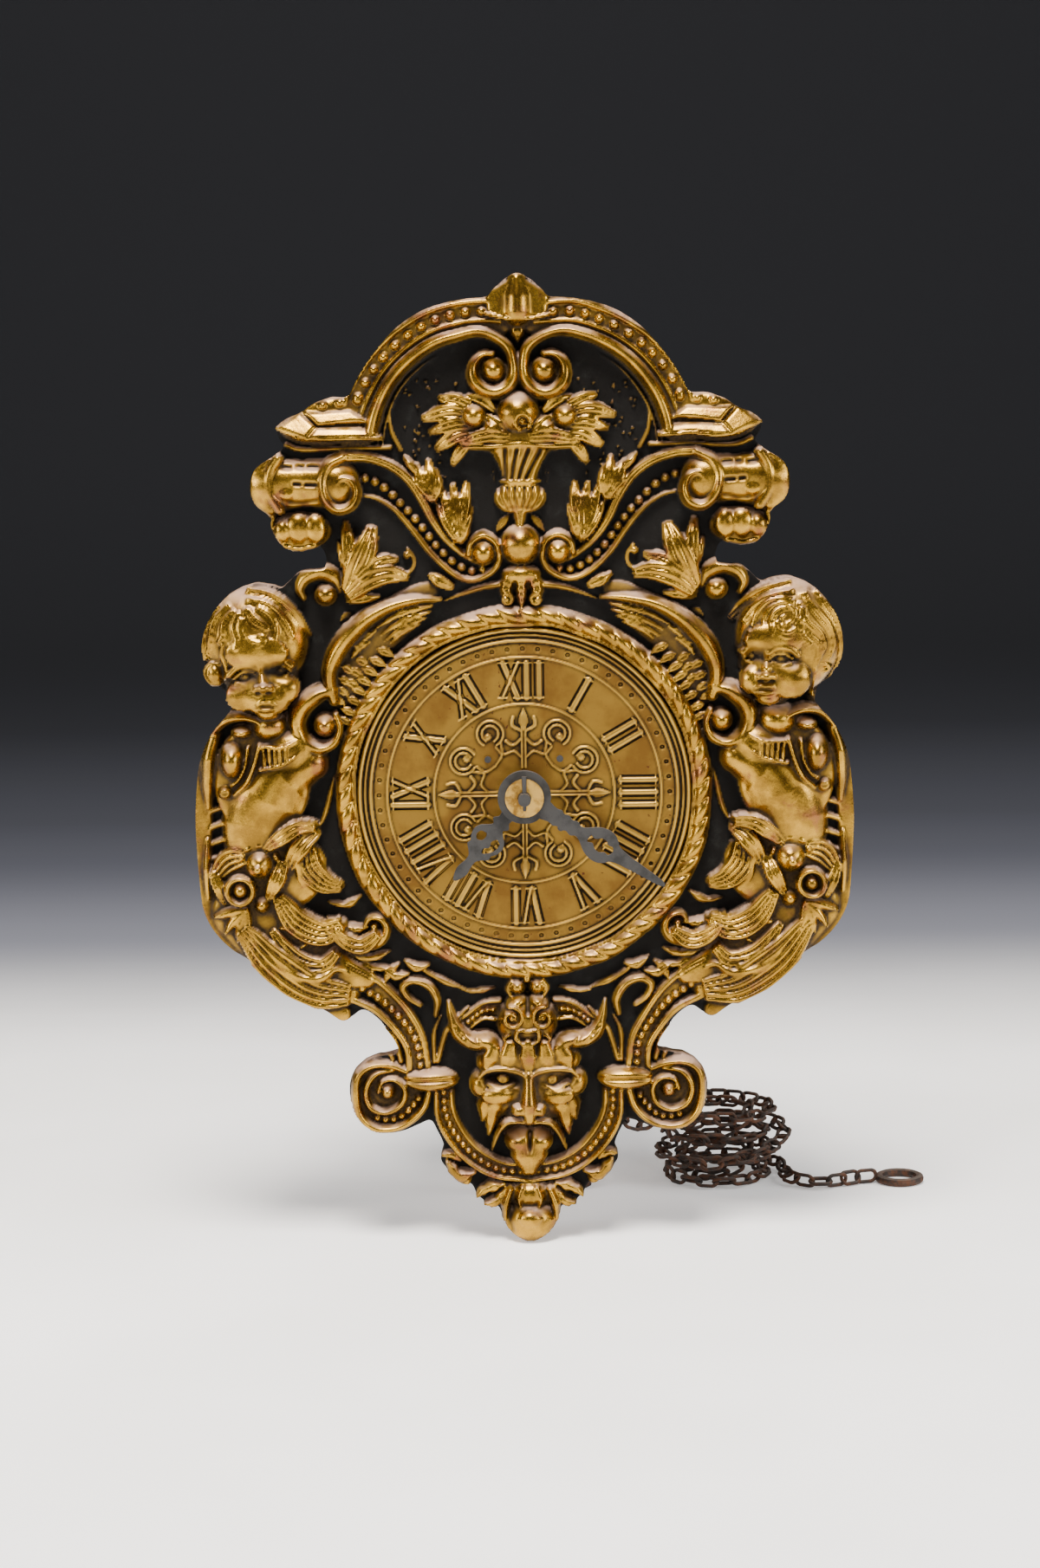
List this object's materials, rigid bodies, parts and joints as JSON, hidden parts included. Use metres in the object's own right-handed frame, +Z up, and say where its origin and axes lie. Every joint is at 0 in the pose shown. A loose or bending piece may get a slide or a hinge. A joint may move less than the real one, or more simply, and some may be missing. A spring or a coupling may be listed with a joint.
{
  "type": "black forest wall clock",
  "caption": "Miniature wall clock with an embossed gilt brass front, pierced steel hands, a wooden movement case with side doors, a pendulum behind and a pull-wound chain.",
  "frame": {"origin": "the wall nail's point, just under the crown of the hanging hoop, in the plane of the wall", "axes": "+Z up, +Y into the wall, so the dial faces -Y; +X to the right of someone who reads the dial"},
  "size_m": [0.1451, 0.072, 0.1866],
  "materials": {
    "gilt": "pressed sheet, worn gilding over brown tarnish",
    "dial_brass": "pressed sheet, matte and spotted",
    "brass": "cut and turned, dull",
    "steel": "grey, dusty",
    "iron": "dark wrought wire, rusty",
    "beech": "planed, aged",
    "spruce": "planed, stained"
  },
  "bodies": {
    "case": {"top_board": "beech", "bottom_board": "beech", "back_board": "spruce", "rear_strip": "beech", "front_strip": "beech", "front_board": "spruce", "front_sheet": "gilt", "dial_disc": "dial_brass", "dial_nail_1": "steel", "dial_nail_2": "steel", "dial_nail_3": "steel", "dial_nail_4": "steel", "minute_post": "steel", "left_hinge_wire": "iron", "right_hinge_wire": "iron", "wall_peg_left": "beech", "wall_peg_right": "beech", "hanging_hoop": "iron", "suspension_wire": "iron", "chain_on_sprocket": "iron", "chain_weight_side": "iron", "chain_heap": "iron", "chain_run": "iron", "chain_tail": "iron", "chain_ring": "iron", "weight_hook": "iron"},
    "great": {"great_arbor": "steel", "great_wheel": "brass", "click_pawl": "steel", "click_spring": "steel"},
    "sprocket": {"chain_sprocket": "brass", "ratchet_wheel": "brass"},
    "centre": {"centre_arbor": "steel", "centre_wheel": "brass", "hand_washer": "brass", "hand_pin": "steel"},
    "third": {"third_arbor": "steel", "third_wheel": "brass"},
    "escape": {"escape_arbor": "steel", "escape_wheel": "brass"},
    "minute": {"cannon_pinion": "steel", "minute_hand": "steel"},
    "minute_work": {"minute_wheel": "brass", "minute_pinion": "steel"},
    "hour": {"hour_wheel": "brass", "hour_hand": "steel"},
    "anchor": {"anchor_arbor": "steel", "anchor_pallets": "steel", "crutch": "iron"},
    "pendulum": {"pendulum_rod": "iron", "pendulum_bob": "brass", "rating_nut": "brass"},
    "left_side": {"left_door": "spruce", "left_door_knob": "brass"},
    "right_side": {"right_door": "spruce", "right_door_knob": "brass"}
  },
  "joints": [
    {"name": "third_turn", "type": "hinge", "parent": "case", "child": "third", "pos_m": [-0.01038, 0, -0.03642], "axis": [0, 1, 0], "continuous": true},
    {"name": "centre_turn", "type": "hinge", "parent": "case", "child": "centre", "pos_m": [0, 0, -0.047], "axis": [0, 1, 0], "continuous": true},
    {"name": "great_turn", "type": "hinge", "parent": "case", "child": "great", "pos_m": [0, 0, -0.063], "axis": [0, 1, 0], "continuous": true},
    {"name": "escape_turn", "type": "hinge", "parent": "case", "child": "escape", "pos_m": [0, 0, -0.0295], "axis": [0, 1, 0], "continuous": true},
    {"name": "winding_turn", "type": "hinge", "parent": "great", "child": "sprocket", "pos_m": [0, 0, -0.063], "axis": [0, 1, 0], "continuous": true},
    {"name": "minute_turn", "type": "hinge", "parent": "case", "child": "minute", "pos_m": [0, 0, -0.047], "axis": [0, 1, 0], "continuous": true},
    {"name": "minute_work_turn", "type": "hinge", "parent": "case", "child": "minute_work", "pos_m": [0.00866, 0, -0.052], "axis": [0, 1, 0], "continuous": true},
    {"name": "hour_turn", "type": "hinge", "parent": "case", "child": "hour", "pos_m": [0, 0, -0.047], "axis": [0, 1, 0], "continuous": true},
    {"name": "pendulum_swing", "type": "hinge", "parent": "case", "child": "pendulum", "pos_m": [0, -0.006, -0.02007], "axis": [0, 1, 0], "range_deg": [-4, 4]},
    {"name": "anchor_rock", "type": "hinge", "parent": "case", "child": "anchor", "pos_m": [0, 0, -0.02007], "axis": [0, 1, 0], "range_deg": [-4, 4]},
    {"name": "left_door_hinge", "type": "hinge", "parent": "case", "child": "left_side", "pos_m": [-0.0296, -0.017, -0.047], "axis": [0, 0, -1], "range_deg": [0, 95]},
    {"name": "right_door_hinge", "type": "hinge", "parent": "case", "child": "right_side", "pos_m": [0.0296, -0.017, -0.047], "axis": [0, 0, 1], "range_deg": [0, 95]}
  ],
  "couplings": [
    {"joint": "centre_turn", "follows": "third_turn", "ratio": -0.083333},
    {"joint": "great_turn", "follows": "third_turn", "ratio": 0.011905},
    {"joint": "escape_turn", "follows": "third_turn", "ratio": -12},
    {"joint": "minute_work_turn", "follows": "minute_turn", "ratio": -0.33333},
    {"joint": "hour_turn", "follows": "minute_turn", "ratio": 0.083333},
    {"joint": "anchor_rock", "follows": "pendulum_swing", "ratio": 1}
  ]
}
